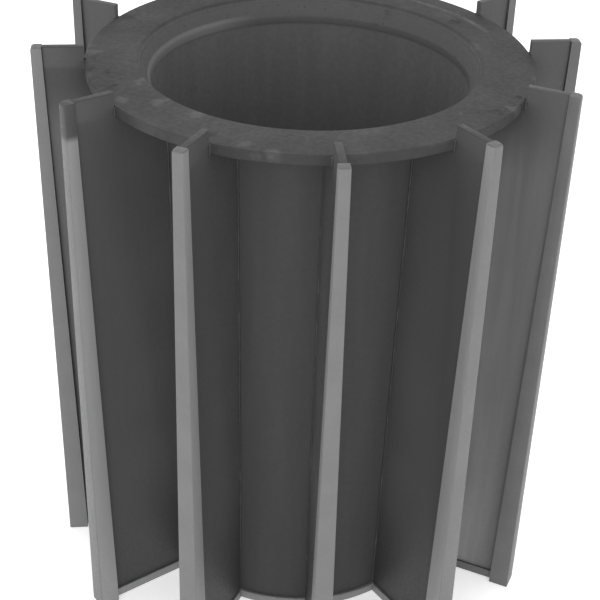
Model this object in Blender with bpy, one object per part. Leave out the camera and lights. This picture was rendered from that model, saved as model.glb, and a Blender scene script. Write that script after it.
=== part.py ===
# Francis turbine runner: twelve upright radial blades round a hollow hub, under a flat crown ring.
# Units are metres, +Z is up, the turning axis is the Z axis and the feet of the blades stand at Z = 0.

import math

import bmesh
import bpy

# Main sizes
BLADE_COUNT = 12
TIP_RADIUS = 0.615
RUNNER_HEIGHT = 1.372
SEAT_GAP = 0.0003

# Crown ring, the flat ring that closes the top of the passages
CROWN_RADIUS = 0.500
CROWN_TOP = 1.342
CROWN_THICKNESS = 0.024
CROWN_CHAMFER = 0.003

# The top falls steeply into the bore: the crown ring has the lip of that slope, the seat ring the rest
DISH_RADIUS = 0.385
DISH_SLOPE = 1.67
SEAT_BORE = 0.358
SEAT_THICKNESS = 0.060

# Hub shell, the hollow drum that carries the inner edges of the blades and narrows towards its foot
HUB_TOP_RADIUS = 0.378
HUB_FOOT_RADIUS = 0.352
HUB_WALL = 0.018

# Foot ring under the hub shell
FOOT_RADIUS = 0.360
FOOT_BORE = 0.326
FOOT_HEIGHT = 0.025
FOOT_CHAMFER = 0.004

# Blades and the strips along their outer and lower edges; the upright strips widen towards their feet
BLADE_THICKNESS = 0.016
STRIP_TOP_SIZE = 0.024
STRIP_FOOT_SIZE = 0.048
FOOT_STRIP_WIDTH = 0.024
STRIP_CHAMFER = 0.003
STRIP_CROWN_RADIUS = 0.007
CROWN_STEPS = 4

# Round pieces have their flats, not their corners, at the blade angles
ROUND_SEGMENTS = 72
HALF_SEGMENT = math.pi / ROUND_SEGMENTS
CORNER_SCALE = 1.0 / math.cos(HALF_SEGMENT)


def clear_scene():
    for item in list(bpy.data.objects):
        bpy.data.objects.remove(item, do_unlink=True)


def make_material(name, color, metallic, roughness):
    material = bpy.data.materials.new(name)
    material.use_nodes = True
    shader = material.node_tree.nodes["Principled BSDF"]
    shader.inputs["Base Color"].default_value = (*color, 1.0)
    shader.inputs["Metallic"].default_value = metallic
    shader.inputs["Roughness"].default_value = roughness
    return material


def finish_mesh(name, build, material):
    # Turns a filled bmesh into a mesh with outward faces and one material
    bmesh.ops.recalc_face_normals(build, faces=build.faces)
    mesh = bpy.data.meshes.new(name)
    build.to_mesh(mesh)
    build.free()
    mesh.materials.append(material)
    return mesh


def place(name, mesh, angle=0.0):
    part = bpy.data.objects.new(name, mesh)
    part.rotation_euler = (0.0, 0.0, angle)
    bpy.context.scene.collection.objects.link(part)
    return part


def turned_mesh(name, profile, material):
    # Sweeps a closed (radius, height) outline once round the axis; radii are measured to the flats
    build = bmesh.new()
    loops = []
    for step in range(ROUND_SEGMENTS):
        angle = (2 * step + 1) * HALF_SEGMENT
        across = math.cos(angle) * CORNER_SCALE
        along = math.sin(angle) * CORNER_SCALE
        loops.append([build.verts.new((radius * across, radius * along, height)) for radius, height in profile])
    count = len(profile)
    for step in range(ROUND_SEGMENTS):
        here = loops[step]
        there = loops[(step + 1) % ROUND_SEGMENTS]
        for corner in range(count):
            after = (corner + 1) % count
            build.faces.new((here[corner], there[corner], there[after], here[after]))
    mesh = finish_mesh(name, build, material)
    mesh.shade_smooth()
    mesh.set_sharp_from_angle(angle=math.radians(30))
    return mesh


def plate_mesh(name, outline, thickness, material):
    # Flat plate standing in the XZ plane, centred on it
    build = bmesh.new()
    half = thickness / 2
    left = [build.verts.new((radius, half, height)) for radius, height in outline]
    right = [build.verts.new((radius, -half, height)) for radius, height in outline]
    build.faces.new(left)
    build.faces.new(right[::-1])
    count = len(outline)
    for corner in range(count):
        after = (corner + 1) % count
        build.faces.new((left[corner], right[corner], right[after], left[after]))
    return finish_mesh(name, build, material)


def bar_section(width, depth):
    # Flat bar with its two outer corners chamfered: (distance back from the outer face, sideways offset)
    half = width / 2
    flat = half - STRIP_CHAMFER
    return [(depth, half), (STRIP_CHAMFER, half), (0.0, flat), (0.0, -flat), (STRIP_CHAMFER, -half), (depth, -half)]


def strip_mesh(name, stations, material):
    # Joins cross-sections along an edge; every station is a list of matching points
    build = bmesh.new()
    loops = [[build.verts.new(point) for point in station] for station in stations]
    count = len(loops[0])
    for here, there in zip(loops, loops[1:]):
        for corner in range(count):
            after = (corner + 1) % count
            build.faces.new((here[corner], there[corner], there[after], here[after]))
    build.faces.new(loops[0])
    build.faces.new(loops[-1][::-1])
    return finish_mesh(name, build, material)


def dish_height(radius):
    return CROWN_TOP - (DISH_RADIUS - radius) * DISH_SLOPE


def crown_profile():
    low = CROWN_TOP - CROWN_THICKNESS
    bore = HUB_TOP_RADIUS + SEAT_GAP
    return [
        (bore, low),
        (CROWN_RADIUS - CROWN_CHAMFER, low),
        (CROWN_RADIUS, low + CROWN_CHAMFER),
        (CROWN_RADIUS, CROWN_TOP - CROWN_CHAMFER),
        (CROWN_RADIUS - CROWN_CHAMFER, CROWN_TOP),
        (DISH_RADIUS, CROWN_TOP),
        (bore, dish_height(bore)),
    ]


def seat_profile():
    low = CROWN_TOP - SEAT_THICKNESS
    return [
        (SEAT_BORE, low),
        (HUB_TOP_RADIUS, low),
        (HUB_TOP_RADIUS, dish_height(HUB_TOP_RADIUS)),
        (SEAT_BORE, dish_height(SEAT_BORE)),
    ]


def hub_profile():
    low = FOOT_HEIGHT + SEAT_GAP
    high = CROWN_TOP - SEAT_THICKNESS - SEAT_GAP
    return [
        (HUB_FOOT_RADIUS - HUB_WALL, low),
        (HUB_FOOT_RADIUS, low),
        (HUB_TOP_RADIUS, high),
        (HUB_TOP_RADIUS - HUB_WALL, high),
    ]


def foot_profile():
    return [
        (FOOT_BORE, 0.0),
        (FOOT_RADIUS - FOOT_CHAMFER, 0.0),
        (FOOT_RADIUS, FOOT_CHAMFER),
        (FOOT_RADIUS, FOOT_HEIGHT),
        (FOOT_BORE, FOOT_HEIGHT),
    ]


def strip_size(height):
    # Width and depth of the upright strip
    return STRIP_FOOT_SIZE + (STRIP_TOP_SIZE - STRIP_FOOT_SIZE) * height / RUNNER_HEIGHT


def strip_back(height):
    # Radius at which a blade ends, just inside its upright strip
    return TIP_RADIUS - strip_size(height) - SEAT_GAP


def blade_outline():
    # Runs round one blade: it fits under the crown ring and rises past the ring's rim outside it
    rim = CROWN_RADIUS + SEAT_GAP
    low = FOOT_HEIGHT + SEAT_GAP
    under_crown = CROWN_TOP - CROWN_THICKNESS - SEAT_GAP
    hub_high = CROWN_TOP - SEAT_THICKNESS - SEAT_GAP
    return [
        (HUB_FOOT_RADIUS + SEAT_GAP, low),
        (strip_back(low), low),
        (strip_back(RUNNER_HEIGHT), RUNNER_HEIGHT),
        (rim, RUNNER_HEIGHT),
        (rim, under_crown),
        (HUB_TOP_RADIUS + SEAT_GAP, under_crown),
        (HUB_TOP_RADIUS + SEAT_GAP, hub_high),
    ]


def inlet_strip_station(height, inset):
    # Square section of the upright strip at a height, with its outer face drawn in by the inset
    size = strip_size(height)
    keep = 1.0 - inset / size
    return [(TIP_RADIUS - size + (size - back) * keep, side, height) for back, side in bar_section(size, size)]


def inlet_strip_stations():
    # Upright strip on the outer edge of a blade; the outer top corner is rounded
    stations = [inlet_strip_station(0.0, 0.0)]
    for step in range(CROWN_STEPS + 1):
        turn = 0.5 * math.pi * step / CROWN_STEPS
        height = RUNNER_HEIGHT - STRIP_CROWN_RADIUS * (1.0 - math.sin(turn))
        stations.append(inlet_strip_station(height, STRIP_CROWN_RADIUS * (1.0 - math.cos(turn))))
    return stations


def foot_strip_stations():
    # Level strip under the lower edge of a blade, chamfers down, from the foot ring to the upright strip
    section = bar_section(FOOT_STRIP_WIDTH, FOOT_HEIGHT)
    inner = [(FOOT_RADIUS + SEAT_GAP, side, back) for back, side in section]
    outer = [(strip_back(back), side, back) for back, side in section]
    return [inner, outer]


def build_runner():
    clear_scene()
    cast_steel = make_material("cast_crown_steel", (0.085, 0.085, 0.088), 0.0, 0.62)
    hub_steel = make_material("dark_hub_steel", (0.045, 0.045, 0.047), 0.0, 0.70)
    blade_steel = make_material("blade_steel", (0.115, 0.115, 0.118), 0.0, 0.55)
    edge_steel = make_material("edge_steel", (0.235, 0.235, 0.238), 0.0, 0.45)

    place("crown_ring", turned_mesh("crown_ring", crown_profile(), cast_steel))
    place("crown_seat_ring", turned_mesh("crown_seat_ring", seat_profile(), cast_steel))
    place("hub_shell", turned_mesh("hub_shell", hub_profile(), hub_steel))
    place("hub_foot_ring", turned_mesh("hub_foot_ring", foot_profile(), edge_steel))

    blade = plate_mesh("blade", blade_outline(), BLADE_THICKNESS, blade_steel)
    inlet_strip = strip_mesh("inlet_strip", inlet_strip_stations(), edge_steel)
    foot_strip = strip_mesh("foot_strip", foot_strip_stations(), edge_steel)
    for number in range(BLADE_COUNT):
        angle = 2 * math.pi * number / BLADE_COUNT - math.pi / 2
        label = f"{number + 1:02d}"
        place("blade_" + label, blade, angle)
        place("inlet_strip_" + label, inlet_strip, angle)
        place("foot_strip_" + label, foot_strip, angle)


build_runner()
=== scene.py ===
# %% [markdown]
# # A francis turbine runner, dressed for its portrait
# The runner is a steel wheel that water turns. Twelve upright blades stand round a hollow hub, under a
# flat crown ring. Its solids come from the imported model, which is the fixed frame that every piece is
# fitted to.

# %% Load the frame
import math

import bmesh
import bpy
from mathutils import Matrix, Vector


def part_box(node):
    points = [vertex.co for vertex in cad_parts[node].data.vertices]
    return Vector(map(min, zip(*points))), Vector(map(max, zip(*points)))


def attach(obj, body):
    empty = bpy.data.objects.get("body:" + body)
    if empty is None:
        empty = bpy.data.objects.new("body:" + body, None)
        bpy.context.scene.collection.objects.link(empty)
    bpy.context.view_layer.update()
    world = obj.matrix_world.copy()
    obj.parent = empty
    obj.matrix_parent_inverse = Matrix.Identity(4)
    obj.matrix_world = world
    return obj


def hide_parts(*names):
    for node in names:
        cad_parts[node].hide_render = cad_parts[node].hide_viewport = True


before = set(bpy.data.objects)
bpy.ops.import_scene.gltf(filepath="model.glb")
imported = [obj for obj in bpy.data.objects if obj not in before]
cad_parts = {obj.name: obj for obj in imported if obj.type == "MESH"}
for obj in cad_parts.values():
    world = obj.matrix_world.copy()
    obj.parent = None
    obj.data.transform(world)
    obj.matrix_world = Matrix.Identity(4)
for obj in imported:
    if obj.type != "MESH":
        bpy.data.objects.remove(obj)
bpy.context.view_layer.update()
print("nodes in the frame:", len(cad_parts))

# %% [markdown]
# ## Sizes read from the frame
# A round node is a little wider across its corners than across its flats, and a blade angle falls on a
# flat. The true radius is therefore the node's reach along X, where a blade stands. Every size below
# follows the solids, so the dressing still fits if they change.

# %% Read the sizes
BLADES = 12
crown_low, crown_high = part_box("crown_ring")
seat_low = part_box("crown_seat_ring")[0]
hub_low, hub_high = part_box("hub_shell")
foot_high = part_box("hub_foot_ring")[1]
blade_low, blade_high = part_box("blade_04")
strip_low, strip_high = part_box("inlet_strip_04")
bar_low, bar_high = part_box("foot_strip_04")
crown_top = crown_high.z
crown_under = crown_low.z
runner_top = blade_high.z
tip_radius = strip_high.x
strip_foot_size = strip_high.y - strip_low.y
plate_thickness = blade_high.y - blade_low.y
print("crown ring: radius", round(crown_high.x, 4))
print("crown ring: from", round(crown_under, 4), "to", round(crown_top, 4))
print("seat ring from", round(seat_low.z, 4), "hub radius at the top", round(hub_high.x, 4))
print("blade plate: from radius", round(blade_low.x, 4), "to", round(blade_high.x, 4))
print("blade plate: top", round(runner_top, 4), "thickness", round(plate_thickness, 4))
print("upright strip: tip radius", round(tip_radius, 4), "size at the foot", round(strip_foot_size, 4))

# %% [markdown]
# The few sizes that a box can't give are named here: the steep slope into the bore, the wall of the hub,
# how much the hub narrows towards its foot, and how much the upright strips widen towards theirs. They
# are the same as in the solids.

# %% Sizes inside the boxes
LIP_RADIUS = 0.385
BORE_RADIUS = 0.358
LIP_SLOPE = 1.67
HUB_TOP_RADIUS = 0.378
HUB_FOOT_RADIUS = 0.352
HUB_WALL = 0.018
HUB_FLARE = (HUB_TOP_RADIUS - HUB_FOOT_RADIUS) / (hub_high.z - hub_low.z)
FOOT_BORE = 0.326
FOOT_RADIUS = 0.360
CROWN_RADIUS = 0.500
STRIP_TOP_SIZE = 0.024
GAP = 0.0003


def strip_size(height):
    return strip_foot_size + (STRIP_TOP_SIZE - strip_foot_size) * height / runner_top


def strip_back(height):
    return tip_radius - strip_size(height) - GAP


print("a blade ends at radius", round(strip_back(0.0), 4), "at its foot")
print("a blade ends at radius", round(strip_back(runner_top), 4), "at its top")

# %% [markdown]
# ## Metal finishes
# Worn turbine steel is a rough metal. Each finish starts from one recipe: a clouded grey, a second finer
# cloud for grain, and the same grain again for roughness and bump, so that what looks dirty also looks
# rough. Masks made from the place on the object then add what happened to the metal at that spot, and in
# some places painted light and shade. Everything reads Object coordinates, so a pattern stays on the steel
# when the camera moves.

# %% Helpers for material nodes
BUMP_STRENGTH = 0.8
COLD_TINT = 1.01


def new_material(name, metallic, roughness, shine=0.5):
    material = bpy.data.materials.new(name)
    material.use_nodes = True
    shader = material.node_tree.nodes["Principled BSDF"]
    shader.inputs["Metallic"].default_value = metallic
    shader.inputs["Roughness"].default_value = roughness
    shader.inputs["Specular IOR Level"].default_value = shine
    return material


def feed(tree, socket, value):
    # A socket is linked, and anything else is set as the input's own value
    if isinstance(value, bpy.types.NodeSocket):
        tree.links.new(value, socket)
    else:
        socket.default_value = value


def add_node(tree, kind, settings=None, **sockets):
    node = tree.nodes.new(kind)
    for key, value in (settings or {}).items():
        setattr(node, key, value)
    for key, value in sockets.items():
        feed(tree, node.inputs[key.replace("_", " ")], value)
    return node


def calculate(tree, kind, operation, *values):
    # Inputs of a math node share one name, so they are fed in their order
    node = tree.nodes.new(kind)
    node.operation = operation
    for socket, value in zip(node.inputs, values):
        feed(tree, socket, value)
    return node.outputs


def math_node(material, operation, *values):
    return calculate(material.node_tree, "ShaderNodeMath", operation, *values)[0]


def object_place(material, scale=(1.0, 1.0, 1.0)):
    where = add_node(material.node_tree, "ShaderNodeTexCoord").outputs["Object"]
    return add_node(material.node_tree, "ShaderNodeMapping", Vector=where, Scale=scale).outputs["Vector"]


def ramp(material, value, low, high):
    node = add_node(material.node_tree, "ShaderNodeMapRange", {"interpolation_type": "SMOOTHSTEP"},
                    Value=value, From_Min=low, From_Max=high)
    return node.outputs["Result"]


def cloud(material, place, scale, detail, low=0.3, high=0.7):
    noise = add_node(material.node_tree, "ShaderNodeTexNoise", Vector=place, Scale=scale, Detail=detail)
    return ramp(material, noise.outputs["Fac"], low, high)


print("bump strength", BUMP_STRENGTH)

# %% [markdown]
# A finish is built in layers, like coats of paint. Each layer lays one grey over the colour so far,
# where its mask is white, and at most as strongly as its share says. The greys are a touch cold, as bare
# steel is.


# %% Helpers that layer the greys
def as_color(value):
    # A plain number is a grey, and a socket already carries a colour
    return (value, value, value * COLD_TINT, 1.0) if isinstance(value, float) else value


def mix_grey(material, amount, first, second):
    tree = material.node_tree
    node = tree.nodes.new("ShaderNodeMix")
    node.data_type = "RGBA"
    feed(tree, node.inputs["Factor"], amount)
    feed(tree, node.inputs["A"], as_color(first))
    feed(tree, node.inputs["B"], as_color(second))
    return node.outputs["Result"]


def both(material, first, second):
    return math_node(material, "MULTIPLY", first, second)


def opposite(material, mask):
    return math_node(material, "SUBTRACT", 1.0, mask)


def layer(material, color, mask, share, grey):
    return mix_grey(material, both(material, mask, share), color, grey)


def finish_shader(material, color, rough_mask, rough_low, rough_high, height, distance):
    tree = material.node_tree
    shader = tree.nodes["Principled BSDF"]
    rough = add_node(tree, "ShaderNodeMapRange", Value=rough_mask, To_Min=rough_low, To_Max=rough_high)
    bump = add_node(tree, "ShaderNodeBump", Height=height, Distance=distance, Strength=BUMP_STRENGTH)
    tree.links.new(color, shader.inputs["Base Color"])
    tree.links.new(rough.outputs["Result"], shader.inputs["Roughness"])
    tree.links.new(bump.outputs["Normal"], shader.inputs["Normal"])
    print("made", material.name, "with", len(tree.nodes), "nodes")


# %% [markdown]
# Three measures are used again and again: how far a point is from the turning axis, at what angle round
# the axis it stands, and how high. The angle is nought at the blade that points at the viewer, and grows
# to the right. A band and a sector make masks from them. A spot is a round mask at one place, and its
# edge turns ragged when it reads a place that a noise has pushed about.

# %% Masks from the place on the runner
SPOT_CORE = 0.3
RAGGED_DETAIL = 3.0


def place_parts(material):
    where = add_node(material.node_tree, "ShaderNodeTexCoord").outputs["Object"]
    return add_node(material.node_tree, "ShaderNodeSeparateXYZ", Vector=where).outputs


def radius_of(material):
    parts = place_parts(material)
    squares = [both(material, parts[axis], parts[axis]) for axis in ("X", "Y")]
    return math_node(material, "SQRT", math_node(material, "ADD", *squares))


def angle_of(material):
    parts = place_parts(material)
    return math_node(material, "ARCTAN2", parts["X"], both(material, parts["Y"], -1.0))


def height_of(material):
    return place_parts(material)["Z"]


def band(material, value, middle, half_width, blur):
    away = math_node(material, "ABSOLUTE", math_node(material, "SUBTRACT", value, middle))
    return opposite(material, ramp(material, away, half_width, half_width + blur))


def sector(material, angle, start, end, blur):
    begun = ramp(material, angle, start - blur, start)
    over = ramp(material, angle, end, end + blur)
    return both(material, begun, opposite(material, over))


def ragged_place(material, place, scale, reach):
    tree = material.node_tree
    noise = add_node(tree, "ShaderNodeTexNoise", Vector=place, Scale=scale, Detail=RAGGED_DETAIL)
    middle_grey = (0.5, 0.5, 0.5)
    push = (reach, reach, reach)
    centred = calculate(tree, "ShaderNodeVectorMath", "SUBTRACT", noise.outputs["Color"], middle_grey)
    pushed = calculate(tree, "ShaderNodeVectorMath", "MULTIPLY_ADD", centred["Vector"], push, place)
    return pushed["Vector"]


def spot(material, place, reach, degrees, height, size):
    turn = math.radians(degrees)
    middle = (reach * math.sin(turn), -reach * math.cos(turn), height)
    away = calculate(material.node_tree, "ShaderNodeVectorMath", "DISTANCE", place, middle)
    return opposite(material, ramp(material, away["Value"], size * SPOT_CORE, size))


print("a spot is solid over", SPOT_CORE, "of its size")

# %% [markdown]
# ### Cast crown steel
# The crown ring has a rough, clouded skin with small pits. A Voronoi texture gives the pits, because each
# of its cells has one low middle. The ring also has marks of its own: pale spots near the rim and the lip,
# dark spots, and a worn arc at the back. A painted highlight lies along the rim and the lip, and a thin one
# along the left of the bore's lower edge. The slope into the bore is painted lighter than the top, as
# painted light against the shade that falls there. Each mark is given by its distance from the axis, its
# angle in degrees and its size.

# %% Marks on the crown
PALE_MARKS = [
    (0.492, 53, 0.024), (0.418, 42, 0.016), (0.401, -41, 0.020), (0.399, -71, 0.020), (0.416, -55, 0.022),
    (0.477, -22, 0.024), (0.494, -14, 0.026), (0.470, -62, 0.022), (0.486, -94, 0.026),
]
DARK_MARKS = [
    (0.464, -70, 0.022), (0.474, 49, 0.024), (0.450, -80, 0.018), (0.475, -121, 0.026),
    (0.470, -31, 0.022), (0.419, 118, 0.024), (0.482, 60, 0.020), (0.487, -83, 0.020),
]
WORN_ARC_RADIUS = 0.449
WORN_ARC_ANGLE = math.radians(124.0)
# Where the painted highlight on the bore's lower edge lies.
BORE_HIGHLIGHT_ANGLE = math.radians(-115.0)
MARK_RAGGEDNESS = 0.055
print("the crown has", len(PALE_MARKS), "pale and", len(DARK_MARKS), "dark marks")

# %% [markdown]
# The masks come first. A mask is a value from nought to one over the steel. Clouds give the masks that lie
# all over the ring, and the pits come from the cells. The rim, the lip, the slope, the lower edge of the
# bore and the worn arc come from the radius and the angle.

# %% Crown masks
crown_steel = new_material("crown_cast_steel", metallic=0.15, roughness=0.65, shine=0.12)
place = object_place(crown_steel)
patches = cloud(crown_steel, place, scale=7.0, detail=3.0)
mottle = cloud(crown_steel, place, scale=18.0, detail=2.0)
grain = cloud(crown_steel, place, scale=90.0, detail=4.0)
stains = cloud(crown_steel, place, scale=15.0, detail=2.0, low=0.66, high=0.74)
# This cloud breaks up the painted highlight along the rim and the lip.
highlight_breakup = cloud(crown_steel, place, scale=19.0, detail=3.0, low=0.56, high=0.68)
cells = add_node(crown_steel.node_tree, "ShaderNodeTexVoronoi", Vector=place, Scale=55.0)
pits = opposite(crown_steel, ramp(crown_steel, cells.outputs["Distance"], low=0.06, high=0.2))
radius = radius_of(crown_steel)
angle = angle_of(crown_steel)
rim = ramp(crown_steel, radius, low=CROWN_RADIUS - 0.020, high=CROWN_RADIUS - 0.002)
lip = band(crown_steel, radius, LIP_RADIUS, half_width=0.004, blur=0.014)
# Painted highlight: the rim and the lip are painted lighter, broken up by a cloud.
painted_edge_highlight = both(crown_steel, math_node(crown_steel, "MAXIMUM", rim, lip), highlight_breakup)
# Painted light: the slope into the bore is painted lighter, against the shade that falls into the bore.
slope = opposite(crown_steel, ramp(crown_steel, radius, low=LIP_RADIUS - 0.006, high=LIP_RADIUS - 0.001))
# Painted highlight: a thin light line on the lower edge of the bore, at the left.
painted_bore_highlight = both(crown_steel, band(crown_steel, radius, BORE_RADIUS, half_width=0.004, blur=0.003),
                 band(crown_steel, angle, BORE_HIGHLIGHT_ANGLE, half_width=0.5, blur=0.4))
worn_arc = both(crown_steel, band(crown_steel, radius, WORN_ARC_RADIUS, half_width=0.002, blur=0.008),
                band(crown_steel, angle, WORN_ARC_ANGLE, half_width=0.24, blur=0.1))
print("masks of the crown are ready")

# %% [markdown]
# Then the layers go on, the largest first: the clouded grey, the slope painted lighter against its shade,
# pits, stains, the painted highlight of the rim and the lip, the worn arc, the painted highlight of the
# bore's edge and last the marks, each a spot of its own. The pits are sunk a little in the bump too.

# %% Crown finish
color = mix_grey(crown_steel, patches, 0.046, 0.068)
color = layer(crown_steel, color, mottle, share=0.6, grey=0.047)
# Painted light on the slope into the bore.
color = layer(crown_steel, color, slope, share=0.8, grey=0.095)
color = layer(crown_steel, color, pits, share=0.4, grey=0.030)
color = layer(crown_steel, color, stains, share=0.3, grey=0.030)
# Painted highlight along the rim and the lip.
color = layer(crown_steel, color, painted_edge_highlight, share=0.3, grey=0.110)
color = layer(crown_steel, color, worn_arc, share=mottle, grey=0.100)
# Painted highlight on the bore's lower edge.
color = layer(crown_steel, color, painted_bore_highlight, share=0.7, grey=0.170)
ragged = ragged_place(crown_steel, place, scale=48.0, reach=MARK_RAGGEDNESS)
for reach, degrees, size in PALE_MARKS:
    mark = spot(crown_steel, ragged, reach, degrees, crown_top, size)
    color = layer(crown_steel, color, mark, share=0.6, grey=0.105)
for reach, degrees, size in DARK_MARKS:
    mark = spot(crown_steel, ragged, reach, degrees, crown_top, size)
    color = layer(crown_steel, color, mark, share=0.75, grey=0.026)
relief = math_node(crown_steel, "SUBTRACT", grain, both(crown_steel, pits, 1.5))
finish_shader(crown_steel, color, grain, rough_low=0.55, rough_high=0.7, height=relief, distance=0.0003)

# %% [markdown]
# ### Dark hub steel
# The outside of the hub is painted an even dark grey, as painted shade for the passages between the blades,
# with faint streaks where water ran down. The inside of the hub is painted a shade lighter, as painted
# light against the shade in the bore. Inside and outside are told apart by the radius, and as the hub
# narrows towards its foot, the radius is first corrected for the height.

# %% Hub finish
hub_steel = new_material("hub_dark_steel", metallic=0.1, roughness=0.65, shine=0.3)
streaks = cloud(hub_steel, object_place(hub_steel, (1.0, 1.0, 0.07)), scale=28.0, detail=4.0)
grain = cloud(hub_steel, object_place(hub_steel), scale=90.0, detail=4.0)
flare = both(hub_steel, height_of(hub_steel), HUB_FLARE)
upright = math_node(hub_steel, "SUBTRACT", radius_of(hub_steel), flare)
past_the_wall = ramp(hub_steel, upright, low=HUB_FOOT_RADIUS - 0.012, high=HUB_FOOT_RADIUS - 0.008)
# Painted light: the inside of the hub is painted lighter, against the shade in the bore.
inside = mix_grey(hub_steel, streaks, 0.115, 0.13)
# Painted shade: the outside is painted dark, for the shade in the passages between the blades.
outside = mix_grey(hub_steel, streaks, 0.056, 0.063)
color = mix_grey(hub_steel, past_the_wall, inside, outside)
color = layer(hub_steel, color, grain, share=0.2, grey=0.06)
finish_shader(hub_steel, color, grain, rough_low=0.6, rough_high=0.72, height=grain, distance=0.0002)

# %% [markdown]
# ### Blade plate steel
# Rolled plate is smooth, with long marks down its length. The blades towards the viewer are painted the
# same dark grey as the hub, as painted shade for the passages between them, and the others are a lighter
# grey. The tops of the blades on the viewer's side stand outside the rim of the crown ring and have the
# ring's own clouded grey.

# %% Blade masks
# The blades between these angles, towards the viewer, get painted shade.
PASSAGE_SHADE_FROM = math.radians(-62.0)
PASSAGE_SHADE_TO = math.radians(34.0)
# This blade is painted lighter, as painted light against the shade that falls on it.
SHADED_BLADE = math.radians(60.0)
# The blade whose plate is painted darker just under the crown ring, as painted shade.
SHADE_UNDER_CROWN_BLADE = math.radians(-90.0)
VIEWER_SIDE = math.radians(-30.0)
VIEWER_REACH = math.radians(75.0)
blade_steel = new_material("blade_plate_steel", metallic=0.3, roughness=0.55, shine=0.3)
marks = cloud(blade_steel, object_place(blade_steel, (1.0, 1.0, 0.05)), scale=60.0, detail=5.0)
place = object_place(blade_steel)
patches = cloud(blade_steel, place, scale=5.0, detail=4.0)
grain = cloud(blade_steel, place, scale=120.0, detail=3.0)
radius = radius_of(blade_steel)
angle = angle_of(blade_steel)
height = height_of(blade_steel)
# Painted shade: the blades towards the viewer are painted dark, for the shade in the passages between them.
painted_passage_shade = sector(blade_steel, angle, PASSAGE_SHADE_FROM, PASSAGE_SHADE_TO, blur=0.1)
shaded = band(blade_steel, angle, SHADED_BLADE, half_width=0.08, blur=0.05)
# Painted light: on the dark blades the grey is lighter towards the hub, against the shade deep in the
# passages.
near_hub = opposite(blade_steel, ramp(blade_steel, radius, low=0.36, high=0.60))
# Painted light: on the lighter blades the grey is much lighter towards the hub, against the shade deep in
# the passages.
painted_fill_inward = opposite(blade_steel, ramp(blade_steel, radius, low=0.42, high=0.60))
# Painted shade: on the lighter blades the grey is painted darker towards the top.
open_top = ramp(blade_steel, height, low=1.15, high=1.34)
# Painted shade: on the dark blades the grey is darker towards the foot, against the light from the glowing
# floor.
low_down = opposite(blade_steel, ramp(blade_steel, height, low=0.02, high=0.45))
# Painted shade: one blade is painted darker just under the crown ring.
painted_shade_under_crown = both(blade_steel, band(blade_steel, angle, SHADE_UNDER_CROWN_BLADE, half_width=0.08, blur=0.05),
               ramp(blade_steel, height, low=1.16, high=1.30))
# Painted shade: the top faces of the blades on the viewer's side are painted darker than the plate below
# them, against the light from above.
top_face = ramp(blade_steel, height, low=runner_top - 0.003, high=runner_top - 0.001)
outside_rim = both(blade_steel, ramp(blade_steel, height, low=crown_under, high=crown_under + 0.012),
                   band(blade_steel, angle, VIEWER_SIDE, half_width=VIEWER_REACH, blur=0.1))
print("masks of the blades are ready")

# %% [markdown]
# The lighter grey and the painted shade are each built up in layers of their own, and the mask of the
# painted shade chooses between them. The tops outside the rim are laid over both at the end.

# %% Blade finish
# Painted light: the blade at sixty degrees is painted a little lighter, against its shade.
light = mix_grey(blade_steel, shaded, 0.098, 0.112)
# Painted light towards the hub on the lighter blades.
light = mix_grey(blade_steel, painted_fill_inward, light, 0.320)
light = layer(blade_steel, light, patches, share=0.15, grey=0.125)
light = layer(blade_steel, light, marks, share=0.2, grey=0.095)
# Painted shade on the upper part of the lighter blades.
light = layer(blade_steel, light, open_top, share=0.9, grey=0.080)
# Painted light towards the hub on the dark blades.
dark = mix_grey(blade_steel, near_hub, 0.062, 0.165)
dark = layer(blade_steel, dark, patches, share=0.2, grey=0.075)
# Painted shade towards the foot of the dark blades.
dark = layer(blade_steel, dark, low_down, share=0.7, grey=0.040)
# Painted shade on the blades towards the viewer, the lighter grey on the others.
color = mix_grey(blade_steel, painted_passage_shade, light, dark)
# Painted shade just under the crown ring on one blade.
color = layer(blade_steel, color, painted_shade_under_crown, share=0.8, grey=0.058)
# Painted shade on the top faces.
tops = mix_grey(blade_steel, top_face, 0.085, 0.055)
tops = layer(blade_steel, tops, patches, share=0.5, grey=0.060)
color = mix_grey(blade_steel, outside_rim, color, tops)
relief = math_node(blade_steel, "ADD", marks, grain)
finish_shader(blade_steel, color, grain, rough_low=0.5, rough_high=0.62, height=relief, distance=0.0001)

# %% [markdown]
# ### Edge strip steel
# The strips on the outer and lower edges are bars. Those towards the viewer are painted bright, as painted
# light, and the others have the plain grey of their blades. Their sides are painted brighter than their
# outer faces, and their top faces darker, to even out how the light falls on them; the strip at the
# viewer's left has its sides painted darker, as painted shade where the lamp lights it. One strip is
# painted dark at its top, as a painted shadow beside the crown ring.

# %% Strip finish
# Strips between these angles, towards the viewer, are painted bright, as painted light.
BRIGHT_FROM = math.radians(-102.0)
BRIGHT_TO = math.radians(42.0)
# Strip sides at the viewer's left, which face the lamp, get painted shade.
SHADED_SIDES_TO = math.radians(-84.0)
UNSHADED_SIDES_FROM = math.radians(-68.0)
# The strip that gets a painted shadow at its top.
SHADOWED_STRIP = math.radians(-60.0)
strip_steel = new_material("strip_edge_steel", metallic=0.3, roughness=0.5, shine=0.3)
marks = cloud(strip_steel, object_place(strip_steel, (1.0, 1.0, 0.08)), scale=90.0, detail=4.0)
place = object_place(strip_steel)
patches = cloud(strip_steel, place, scale=12.0, detail=4.0)
grain = cloud(strip_steel, place, scale=150.0, detail=3.0)
radius = radius_of(strip_steel)
angle = angle_of(strip_steel)
height = height_of(strip_steel)
# Painted light: the strips towards the viewer are painted bright, the others are not.
painted_light_sector = sector(strip_steel, angle, BRIGHT_FROM, BRIGHT_TO, blur=0.1)
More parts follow.
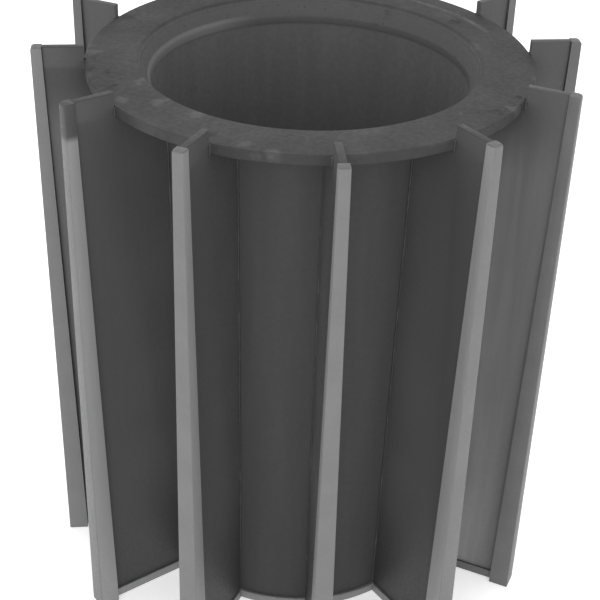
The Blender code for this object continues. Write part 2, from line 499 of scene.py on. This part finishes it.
# Painted shade on the outer faces and the top faces of the strips, and painted light on their sides, to
# even out how the light falls on them.
outer_face = ramp(strip_steel, radius, low=tip_radius - 0.0035, high=tip_radius - 0.0005)
end_face = ramp(strip_steel, height, low=runner_top - 0.004, high=runner_top - 0.001)
# Painted shadow: one strip is painted dark at its top, beside the crown ring.
painted_strip_shadow = both(strip_steel, band(strip_steel, angle, SHADOWED_STRIP, half_width=0.09, blur=0.03),
             ramp(strip_steel, height, low=1.285, high=1.305))
# Painted shade: the sides of the strip at the viewer's left, which face the lamp, are painted darker.
unshaded_sides = ramp(strip_steel, angle, low=SHADED_SIDES_TO, high=UNSHADED_SIDES_FROM)
sides = mix_grey(strip_steel, unshaded_sides, 0.175, 0.262)
# Painted light on the sides, painted shade on the outer faces and the top faces.
bright = mix_grey(strip_steel, outer_face, sides, 0.155)
bright = mix_grey(strip_steel, end_face, bright, 0.110)
bright = layer(strip_steel, bright, patches, share=0.15, grey=0.24)
bright = layer(strip_steel, bright, marks, share=0.12, grey=0.16)
dull = mix_grey(strip_steel, patches, 0.118, 0.134)
# Painted light on the strips towards the viewer.
color = mix_grey(strip_steel, painted_light_sector, dull, bright)
# Painted shadow at the top of one strip.
color = layer(strip_steel, color, painted_strip_shadow, share=0.95, grey=0.062)
relief = math_node(strip_steel, "ADD", marks, grain)
finish_shader(strip_steel, color, grain, rough_low=0.42, rough_high=0.56, height=relief, distance=0.0001)

# %% [markdown]
# ### Weld steel
# A weld bead froze in ripples. Here it is painted the same dark grey as the hub, as painted shade, and
# lighter in patches.

# %% Weld finish
weld_steel = new_material("weld_bead_steel", metallic=0.3, roughness=0.5, shine=0.3)
place = object_place(weld_steel)
heat = cloud(weld_steel, place, scale=20.0, detail=3.0, low=0.5, high=0.75)
grain = cloud(weld_steel, place, scale=200.0, detail=3.0)
# Painted shade: the beads are painted as dark as the hub's outside.
color = mix_grey(weld_steel, heat, 0.055, 0.09)
finish_shader(weld_steel, color, grain, rough_low=0.5, rough_high=0.65, height=grain, distance=0.0001)

# %% [markdown]
# ## Turned pieces
# The crown ring, its seat ring, the hub and the foot ring are round, as if turned on a lathe. Each is
# made from half of its section, spun round the axis in small steps. The faces are shaded smooth and the
# corners kept sharp, so the rounds look round and the edges still catch the light.

# %% Helpers that spin a section and hand a piece to the frame
ROUND_STEPS = 180
TURNED_SHARP_DEGREES = 28


def mesh_from(build, name, sharp_degrees):
    mesh = bpy.data.meshes.new(name)
    build.to_mesh(mesh)
    build.free()
    mesh.shade_smooth()
    mesh.set_sharp_from_angle(angle=math.radians(sharp_degrees))
    return mesh


def join_loops(build, here, there):
    for corner in range(len(here)):
        after = (corner + 1) % len(here)
        build.faces.new((here[corner], there[corner], there[after], here[after]))


def spin_section(name, section):
    build = bmesh.new()
    loops = []
    for step in range(ROUND_STEPS):
        turn = 2 * math.pi * step / ROUND_STEPS
        loops.append([build.verts.new((r * math.cos(turn), r * math.sin(turn), z)) for r, z in section])
    for step, here in enumerate(loops):
        join_loops(build, here, loops[(step + 1) % ROUND_STEPS])
    bmesh.ops.recalc_face_normals(build, faces=build.faces)
    return mesh_from(build, name, TURNED_SHARP_DEGREES)


def hand_over(name, mesh, material, nodes=()):
    mesh.materials.clear()
    mesh.materials.append(material)
    piece = bpy.data.objects.new(name, mesh)
    bpy.context.scene.collection.objects.link(piece)
    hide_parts(*nodes)
    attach(piece, "root")
    print(name, "has", sum(len(face.vertices) - 2 for face in mesh.polygons), "triangles")


# %% [markdown]
# The crown ring's rim has a small chamfer above and below, and the lip of the bore is rounded in two
# steps. The seat ring goes on with the same slope, down to the bore.

# %% Crown ring and seat ring
CHAMFER = 0.003
LIP_ROUND = 0.004
LIP_OUTER_STEP = LIP_ROUND * 0.3
LIP_OUTER_DROP = LIP_ROUND * 0.25
LIP_INNER_STEP = LIP_ROUND * 0.4
LIP_INNER_DROP = LIP_ROUND * 0.1
BORE_EASING = 0.002
BORE_DROP = 0.001


def lip_height(radius):
    return crown_top - (LIP_RADIUS - radius) * LIP_SLOPE


ring_bore = HUB_TOP_RADIUS + GAP
ring_section = [
    (ring_bore, crown_under),
    (CROWN_RADIUS - CHAMFER, crown_under),
    (CROWN_RADIUS, crown_under + CHAMFER),
    (CROWN_RADIUS, crown_top - CHAMFER),
    (CROWN_RADIUS - CHAMFER, crown_top),
    (LIP_RADIUS + LIP_ROUND, crown_top),
    (LIP_RADIUS + LIP_OUTER_STEP, crown_top - LIP_OUTER_DROP),
    (LIP_RADIUS - LIP_INNER_STEP, lip_height(LIP_RADIUS - LIP_INNER_STEP) - LIP_INNER_DROP),
    (ring_bore, lip_height(ring_bore)),
]
crown_mesh = spin_section("crown_plate", ring_section)
hand_over("crown_plate", crown_mesh, crown_steel, ["crown_ring"])
seat_section = [
    (BORE_RADIUS, seat_low.z),
    (HUB_TOP_RADIUS, seat_low.z),
    (HUB_TOP_RADIUS, lip_height(HUB_TOP_RADIUS)),
    (BORE_RADIUS + BORE_EASING, lip_height(BORE_RADIUS + BORE_EASING)),
    (BORE_RADIUS, lip_height(BORE_RADIUS) - BORE_DROP),
]
seat_mesh = spin_section("bore_collar", seat_section)
hand_over("bore_collar", seat_mesh, crown_steel, ["crown_seat_ring"])

# %% [markdown]
# The hub is a rolled shell that narrows a little towards its foot, and the foot ring closes it below.
# The foot ring is chamfered where it stands on the floor, and its upper edge is only eased.

# %% Hub shell and foot ring
FOOT_CHAMFER = 0.004
FOOT_EASING = 0.002
hub_section = [
    (HUB_FOOT_RADIUS - HUB_WALL, hub_low.z),
    (HUB_FOOT_RADIUS, hub_low.z),
    (HUB_TOP_RADIUS, hub_high.z),
    (HUB_TOP_RADIUS - HUB_WALL, hub_high.z),
]
hand_over("hub_drum", spin_section("hub_drum", hub_section), hub_steel, ["hub_shell"])
foot_section = [
    (FOOT_BORE, 0.0),
    (FOOT_RADIUS - FOOT_CHAMFER, 0.0),
    (FOOT_RADIUS, FOOT_CHAMFER),
    (FOOT_RADIUS, foot_high.z - FOOT_EASING),
    (FOOT_RADIUS - FOOT_EASING, foot_high.z),
    (FOOT_BORE, foot_high.z),
]
foot_mesh = spin_section("foot_collar", foot_section)
hand_over("foot_collar", foot_mesh, strip_steel, ["hub_foot_ring"])

# %% [markdown]
# ## Pieces that repeat
# What repeats or follows a path is made by Geometry Nodes, with trees that this script builds. A tree
# sits in a modifier, and the modifier keeps each input under the socket's identifier and not under its
# name, so the name is looked up first. The evaluated result becomes a plain mesh, and the holder with
# its modifiers is removed.


# %% Helpers for geometry trees
def new_tree(name, inputs):
    tree = bpy.data.node_groups.new(name, "GeometryNodeTree")
    tree.interface.new_socket("Geometry", in_out="INPUT", socket_type="NodeSocketGeometry")
    for label, kind in inputs:
        tree.interface.new_socket(label, in_out="INPUT", socket_type=kind)
    tree.interface.new_socket("Geometry", in_out="OUTPUT", socket_type="NodeSocketGeometry")
    return tree, tree.nodes.new("NodeGroupInput").outputs, tree.nodes.new("NodeGroupOutput").inputs


def tree_math(tree, operation, *values):
    return calculate(tree, "ShaderNodeMath", operation, *values)[0]


def add_tree(holder, tree, values):
    modifier = holder.modifiers.new(tree.name, "NODES")
    modifier.node_group = tree
    for item in tree.interface.items_tree:
        if item.item_type == "SOCKET" and item.in_out == "INPUT" and item.name in values:
            modifier[item.identifier] = values[item.name]


def make_real(name, source, trees):
    holder = bpy.data.objects.new(name + "_source", source)
    bpy.context.scene.collection.objects.link(holder)
    for tree, values in trees:
        add_tree(holder, tree, values)
    graph = bpy.context.evaluated_depsgraph_get()
    mesh = bpy.data.meshes.new_from_object(holder.evaluated_get(graph))
    mesh.name = name
    bpy.data.objects.remove(holder, do_unlink=True)
    print(name, "was made real with", len(mesh.vertices), "points")
    return mesh


# %% [markdown]
# ### Copies round the axis
# Blades, strips and welds all repeat every thirty degrees. One tree makes the copies: it takes the
# single piece that it is given, puts a copy on each of a row of points at the axis, and turns each copy
# by its number. The copies are made real at the end, because the export drops instances.

# %% The tree that copies round the axis
copy_inputs = [("Copies", "NodeSocketInt"), ("Material", "NodeSocketMaterial")]
copies, given, made = new_tree("copies_round_axis", copy_inputs)
row = add_node(copies, "GeometryNodePoints", Count=given["Copies"])
number = add_node(copies, "GeometryNodeInputIndex")
share = tree_math(copies, "DIVIDE", number.outputs["Index"], given["Copies"])
about = add_node(copies, "ShaderNodeCombineXYZ", Z=tree_math(copies, "MULTIPLY", share, 2 * math.pi))
spread = add_node(copies, "GeometryNodeInstanceOnPoints", Points=row.outputs[0], Instance=given["Geometry"],
                  Rotation=about.outputs["Vector"])
real = add_node(copies, "GeometryNodeRealizeInstances", Geometry=spread.outputs["Instances"])
painted = add_node(copies, "GeometryNodeSetMaterial", Geometry=real.outputs["Geometry"],
                   Material=given["Material"])
copies.links.new(painted.outputs["Geometry"], made["Geometry"])
print("tree", copies.name, "has", len(copies.nodes), "nodes")

# %% [markdown]
# ### Blade plates
# A blade is a plain plate that stands on edge. Its inner edge follows the hub, and its top fits under
# the crown ring and rises outside the rim. A small bevel on every edge is what makes cut plate look like
# steel and not like paper.

# %% A plate with bevelled edges
PLATE_BEVEL = 0.0012
PLATE_SHARP_DEGREES = 50


def plate(name, outline):
    build = bmesh.new()
    front = [build.verts.new((r, -plate_thickness / 2, z)) for r, z in outline]
    back = [build.verts.new((r, plate_thickness / 2, z)) for r, z in outline]
    build.faces.new(front)
    build.faces.new(back[::-1])
    join_loops(build, front, back)
    bmesh.ops.recalc_face_normals(build, faces=build.faces)
    bmesh.ops.bevel(build, geom=list(build.edges), offset=PLATE_BEVEL, segments=2, profile=0.5,
                    affect="EDGES", clamp_overlap=True)
    return mesh_from(build, name, PLATE_SHARP_DEGREES)


# %% [markdown]
# The outline runs from the foot of the hub out to the strip, up the strip's sloping back, in over the
# top to the crown ring's rim, down the rim, in under the ring and back to the hub.

# %% One blade plate, then all twelve
blade_outline = [
    (HUB_FOOT_RADIUS + GAP, blade_low.z),
    (strip_back(blade_low.z), blade_low.z),
    (strip_back(runner_top), runner_top),
    (CROWN_RADIUS + GAP, runner_top),
    (CROWN_RADIUS + GAP, crown_under - GAP),
    (HUB_TOP_RADIUS + GAP, crown_under - GAP),
    (HUB_TOP_RADIUS + GAP, hub_high.z),
]
blade_copies = [(copies, {"Copies": BLADES, "Material": blade_steel})]
blade_mesh = make_real("blade_plates", plate("one_blade", blade_outline), blade_copies)
hand_over("blade_plates", blade_mesh, blade_steel,
          [f"blade_{n + 1:02d}" for n in range(BLADES)])

# %% [markdown]
# ### Edge strips
# A strip is a bar, wider than the plate, that caps the outer or lower edge of a blade. Each is made by
# joining copies of its section along the edge, with the two outer corners eased.

# %% A bar joined from sections
BAR_ROUND = 0.003
BAR_CORNER_STEPS = 3
BAR_SHARP_DEGREES = 40


def quarter_turns(steps):
    return [0.5 * math.pi * step / steps for step in range(steps + 1)]


def bar_section(width, depth):
    half = width / 2
    corner = []
    for turn in quarter_turns(BAR_CORNER_STEPS):
        corner.append((BAR_ROUND * (1 - math.sin(turn)), half - BAR_ROUND * (1 - math.cos(turn))))
    mirrored = [(back, -side) for back, side in corner[::-1]]
    return [(depth, half)] + corner + mirrored + [(depth, -half)]


def join_sections(name, stations):
    build = bmesh.new()
    loops = [[build.verts.new(point) for point in station] for station in stations]
    for here, there in zip(loops, loops[1:]):
        join_loops(build, here, there)
    build.faces.new(loops[0])
    build.faces.new(loops[-1][::-1])
    bmesh.ops.recalc_face_normals(build, faces=build.faces)
    return mesh_from(build, name, BAR_SHARP_DEGREES)


strip_copies = [(copies, {"Copies": BLADES, "Material": strip_steel})]
print("a bar's section has", len(bar_section(STRIP_TOP_SIZE, STRIP_TOP_SIZE)), "points")

# %% [markdown]
# The upright strip is square in section and widens towards its foot, so each station has a size of its
# own. Its outer top corner is rounded: there the stations rise in a quarter turn while their outer face
# draws in.

# %% Upright strips
TOP_ROUND = 0.007
TOP_STEPS = 4


def upright_station(height, inset):
    size = strip_size(height)
    keep = 1.0 - inset / size
    section = bar_section(size, size)
    return [(tip_radius - size + (size - back) * keep, side, height) for back, side in section]


stations = [upright_station(0.0, 0.0)]
for turn in quarter_turns(TOP_STEPS):
    drop = TOP_ROUND * (1.0 - math.sin(turn))
    stations.append(upright_station(runner_top - drop, TOP_ROUND * (1.0 - math.cos(turn))))
strip_mesh = make_real("inlet_edges", join_sections("one_inlet_edge", stations), strip_copies)
hand_over("inlet_edges", strip_mesh, strip_steel,
          [f"inlet_strip_{n + 1:02d}" for n in range(BLADES)])

# %% [markdown]
# The foot strip lies under the blade, with its eased corners down. It needs only two stations: one at
# the foot ring, and one at the back of the upright strip, which leans, so the outer end leans with it.

# %% Foot strips
section = bar_section(bar_high.y - bar_low.y, bar_high.z)
stations = [[(bar_low.x, side, back) for back, side in section],
            [(strip_back(back), side, back) for back, side in section]]
bar_mesh = make_real("foot_edges", join_sections("one_foot_edge", stations), strip_copies)
hand_over("foot_edges", bar_mesh, strip_steel,
          [f"foot_strip_{n + 1:02d}" for n in range(BLADES)])

# %% [markdown]
# ## Weld beads
# Fillet welds hold the blades to the hub and to the crown ring. A bead follows a path, so a Geometry
# Nodes tree sweeps a small round section along it, and lets its size swell and shrink in a steady
# ripple, as the weld pool did when it froze.

# %% The tree that lays a rippled bead
RINGS_PER_RIPPLE = 3.0
BEAD_SIDES = 5
bead_inputs = [(label, "NodeSocketFloat") for label in ("Bead Radius", "Ripple Pitch", "Ripple Depth")]
bead, given, made = new_tree("rippled_bead", bead_inputs)
path = add_node(bead, "GeometryNodeMeshToCurve", Mesh=given["Geometry"])
ring_pitch = tree_math(bead, "DIVIDE", given["Ripple Pitch"], RINGS_PER_RIPPLE)
even = add_node(bead, "GeometryNodeResampleCurve", {"mode": "LENGTH"}, Curve=path.outputs["Curve"],
                Length=ring_pitch)
along = add_node(bead, "GeometryNodeSplineParameter")
phase = tree_math(bead, "DIVIDE", along.outputs["Length"], given["Ripple Pitch"])
saw = tree_math(bead, "FRACT", phase)
swell = tree_math(bead, "SUBTRACT", 1.0, tree_math(bead, "MULTIPLY", saw, given["Ripple Depth"]))
profile = add_node(bead, "GeometryNodeCurvePrimitiveCircle", Resolution=BEAD_SIDES,
                   Radius=given["Bead Radius"])
swept = add_node(bead, "GeometryNodeCurveToMesh", Curve=even.outputs["Curve"],
                 Profile_Curve=profile.outputs["Curve"], Scale=swell, Fill_Caps=True)
bead.links.new(swept.outputs["Mesh"], made["Geometry"])
print("tree", bead.name, "has", len(bead.nodes), "nodes")

# %% [markdown]
# Each side of a blade has three beads: one up the hub, one under the crown ring and one up the ring's
# rim. The paths stand a millimetre off the plates, so that a bead fills the corner and is sunk into both
# sides.

# %% Paths of the beads on one blade
BEAD_RADIUS = 0.0035
BEAD_OFFSET = 0.001
RIPPLE_PITCH = 0.008
RIPPLE_DEPTH = 0.3
HUB_BEAD_END = 0.004
CROWN_BEAD_START = 0.006
CROWN_BEAD_END = 0.004
RIM_BEAD_END = 0.002


def paths_mesh(name, paths):
    points = [point for path in paths for point in path]
    edges = []
    start = 0
    for path in paths:
        edges += [(start + step, start + step + 1) for step in range(len(path) - 1)]
        start += len(path)
    mesh = bpy.data.meshes.new(name)
    mesh.from_pydata(points, edges, [])
    return mesh


hub_paths = []
crown_paths = []
hub_reach = HUB_TOP_RADIUS + BEAD_OFFSET
rim_reach = CROWN_RADIUS + BEAD_OFFSET
under = crown_under - BEAD_OFFSET
for side in (-plate_thickness / 2 - BEAD_OFFSET, plate_thickness / 2 + BEAD_OFFSET):
    hub_paths.append([(HUB_FOOT_RADIUS + BEAD_OFFSET, side, blade_low.z + HUB_BEAD_END),
                      (hub_reach, side, hub_high.z),
                      (hub_reach, side, crown_under - HUB_BEAD_END)])
    crown_paths.append([(HUB_TOP_RADIUS + CROWN_BEAD_START, side, under),
                        (CROWN_RADIUS - CROWN_BEAD_END, side, under)])
    crown_paths.append([(rim_reach, side, crown_under + RIM_BEAD_END),
                        (rim_reach, side, crown_top - RIM_BEAD_END)])
print("paths on one blade:", len(hub_paths), "up the hub and", len(crown_paths), "at the crown")

# %% [markdown]
# Two trees work on the paths, one after the other: the first sweeps the beads of one blade, and the
# second copies them round the axis.

# %% All the beads
ripple = {"Bead Radius": BEAD_RADIUS, "Ripple Pitch": RIPPLE_PITCH, "Ripple Depth": RIPPLE_DEPTH}
bead_trees = [(bead, ripple), (copies, {"Copies": BLADES, "Material": weld_steel})]
hub_beads = make_real("hub_welds", paths_mesh("hub_weld_paths", hub_paths), bead_trees)
hand_over("hub_welds", hub_beads, weld_steel)
crown_beads = make_real("crown_welds", paths_mesh("crown_weld_paths", crown_paths), bead_trees)
hand_over("crown_welds", crown_beads, weld_steel)

# %% [markdown]
# ## Floor, light and camera
# A pale floor and a pale sky keep the picture as plain as the one being matched. The floor glows a
# little, like the top of a light table, so that it stays white between the feet of the blades. It lies a
# millimetre low, so that it never touches them.

# %% Floor
FLOOR_SIZE = 30.0
FLOOR_DEPTH = 0.001
FLOOR_GLOW = 0.45
FLOOR_GREY = 0.9
half_floor = FLOOR_SIZE / 2
floor_corners = [(-half_floor, -half_floor, 0), (half_floor, -half_floor, 0),
                 (half_floor, half_floor, 0), (-half_floor, half_floor, 0)]
floor_mesh = bpy.data.meshes.new("floor")
floor_mesh.from_pydata(floor_corners, [], [(0, 1, 2, 3)])
floor = bpy.data.objects.new("floor", floor_mesh)
bpy.context.scene.collection.objects.link(floor)
floor_paint = new_material("floor_paint", metallic=0.0, roughness=0.9)
floor_shader = floor_paint.node_tree.nodes["Principled BSDF"]
floor_shader.inputs["Base Color"].default_value = (FLOOR_GREY, FLOOR_GREY, FLOOR_GREY, 1.0)
floor_shader.inputs["Emission Color"].default_value = (1.0, 1.0, 1.0, 1.0)
floor_shader.inputs["Emission Strength"].default_value = FLOOR_GLOW
floor_mesh.materials.append(floor_paint)
floor.location.z = -FLOOR_DEPTH
print("floor laid", FLOOR_DEPTH, "below the feet")

# %% [markdown]
# The sky gives nearly all the light, because the picture being matched has hardly a shadow. One large,
# weak lamp at the viewer's left makes the sides of the strips that face it a little brighter.

# %% Sky and lamp
SKY_STRENGTH = 1.2
LAMP_PLACE = Vector((-1.6, -4.2, 3.0))
LAMP_TARGET = Vector((0.0, 0.0, 0.7))
LAMP_SIZE = 2.4
LAMP_POWER = 20.0
world = bpy.data.worlds.new("pale_sky")
world.use_nodes = True
sky = world.node_tree.nodes["Background"]
sky.inputs["Color"].default_value = (1.0, 1.0, 1.0, 1.0)
sky.inputs["Strength"].default_value = SKY_STRENGTH
bpy.context.scene.world = world
bpy.context.scene.view_settings.view_transform = "Standard"
key_light = bpy.data.lights.new("key_lamp", "AREA")
key_light.shape = "DISK"
key_light.size = LAMP_SIZE
key_light.energy = LAMP_POWER
key_lamp = bpy.data.objects.new("key_lamp", key_light)
key_lamp.location = LAMP_PLACE
key_lamp.rotation_euler = (LAMP_TARGET - LAMP_PLACE).to_track_quat("-Z", "Y").to_euler()
bpy.context.scene.collection.objects.link(key_lamp)
print("lamp of", LAMP_POWER, "watts at", tuple(LAMP_PLACE))

# %% [markdown]
# The camera stands where the picture's own viewer stood. Its place, its lens and the two directions that
# turn it were found by fitting the strips and the ring to their places in the picture.

# %% Camera
LENS_MM = 80.88
SENSOR_MM = 36.0
EYE = Vector((-0.32721, -2.8126, 2.49825))
AHEAD = Vector((0.09568, 0.83792, -0.53734))
RIGHT = Vector((0.99499, -0.09623, 0.02711))
camera_data = bpy.data.cameras.new("portrait_camera")
camera_data.lens = LENS_MM
camera_data.sensor_width = SENSOR_MM
camera = bpy.data.objects.new("portrait_camera", camera_data)
up = RIGHT.cross(AHEAD)
facing = Matrix((RIGHT, up, -AHEAD)).transposed()
camera.matrix_world = Matrix.Translation(EYE) @ facing.to_4x4()
bpy.context.scene.collection.objects.link(camera)
bpy.context.scene.camera = camera
print("camera at", [round(value, 3) for value in camera.matrix_world.translation])
